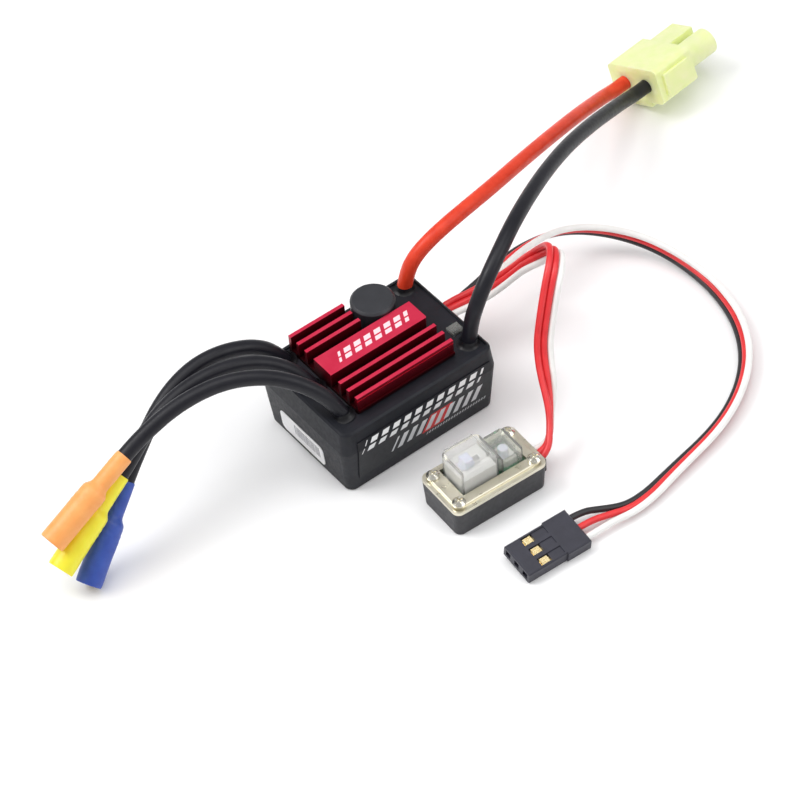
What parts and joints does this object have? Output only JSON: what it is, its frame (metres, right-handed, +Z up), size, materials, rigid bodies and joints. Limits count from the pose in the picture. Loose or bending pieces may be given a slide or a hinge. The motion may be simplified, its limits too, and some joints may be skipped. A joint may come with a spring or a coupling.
{
  "type": "electronic speed controller",
  "caption": "brushless motor speed controller with red finned heat sink, power leads, receiver ribbon and switch module",
  "frame": {"origin": "middle of the underside of the controller case", "axes": "+X along the case to the end where the battery and signal leads leave, +Y to the side away from the label panel, +Z up"},
  "size_m": [0.1845, 0.0936, 0.0332],
  "materials": {
    "case": "black moulded plastic, fine spark texture",
    "anodised": "red anodised aluminium",
    "cap_skin": "dark grey end cap",
    "can": "bare aluminium can",
    "black_silicone": "black silicone insulation",
    "red_silicone": "red silicone insulation",
    "sealant": "glossy black sealing compound",
    "brass": "gold-plated brass",
    "orange_shrink": "orange heat-shrink",
    "yellow_shrink": "yellow heat-shrink",
    "blue_shrink": "blue heat-shrink",
    "nylon": "pale yellow-green translucent nylon",
    "black_pvc": "black ribbon strand",
    "red_pvc": "red ribbon strand",
    "white_pvc": "white ribbon strand",
    "plug_plastic": "blue-black plug moulding",
    "switch_black": "black moulded tray",
    "plate": "pale champagne plated plate",
    "screw": "nickel-plated screws",
    "frosted": "frosted translucent silicone",
    "clear": "clear plastic",
    "board_green": "green circuit board",
    "chip": "black component body",
    "gap_pad": "grey-blue thermal pad",
    "knob": "bluish-white knob",
    "switch_white": "off-white body of the switch and of the button",
    "label_dark": "dark printed label panel",
    "label_white": "white paper label"
  },
  "bodies": {
    "root": {"case_base": "case", "case_cover": "case", "heatsink": "anodised", "capacitor_can": "can", "capacitor_cap": "cap_skin", "main_board": "board_green", "power_transistors": "chip", "thermal_pad": "gap_pad", "control_chip": "chip", "bec_regulator": "chip", "status_light": "clear", "light_window": "clear", "lead_seals": "sealant", "ribbon_grommet": "black_silicone", "front_label": "label_dark", "end_label": "label_white", "motor_lead_a": "black_silicone", "motor_lead_b": "black_silicone", "motor_lead_c": "black_silicone", "bullet_socket_a": "brass", "bullet_socket_b": "brass", "bullet_socket_c": "brass", "orange_sleeve": "orange_shrink", "yellow_sleeve": "yellow_shrink", "blue_sleeve": "blue_shrink", "battery_lead_red": "red_silicone", "battery_lead_black": "black_silicone", "battery_connector": "nylon", "battery_contacts": "brass", "receiver_wire_black": "black_pvc", "receiver_wire_red": "red_pvc", "receiver_wire_white": "white_pvc", "receiver_plug": "plug_plastic", "receiver_contacts": "brass", "switch_wire_red": "red_pvc", "switch_wire_red_inner": "red_pvc", "switch_wire_white": "white_pvc", "switch_base": "switch_black", "switch_plate": "plate", "switch_screws": "screw", "switch_board": "board_green", "slide_switch_body": "switch_white", "set_button_body": "switch_white", "switch_hood": "frosted", "button_hood": "clear", "switch_gland": "black_silicone"},
    "slide_knob_body": {"slide_knob": "knob"},
    "set_button_plunger_body": {"set_button_plunger": "knob"}
  },
  "joints": [
    {"name": "power_slide", "type": "slide", "parent": "root", "child": "slide_knob_body", "axis": [0.9989, -0.0471, 0], "range_m": [0, 0.002]},
    {"name": "set_press", "type": "slide", "parent": "root", "child": "set_button_plunger_body", "axis": [0, 0, -1], "range_m": [0, 0.0003], "stiffness_N_per_m": 2000}
  ]
}
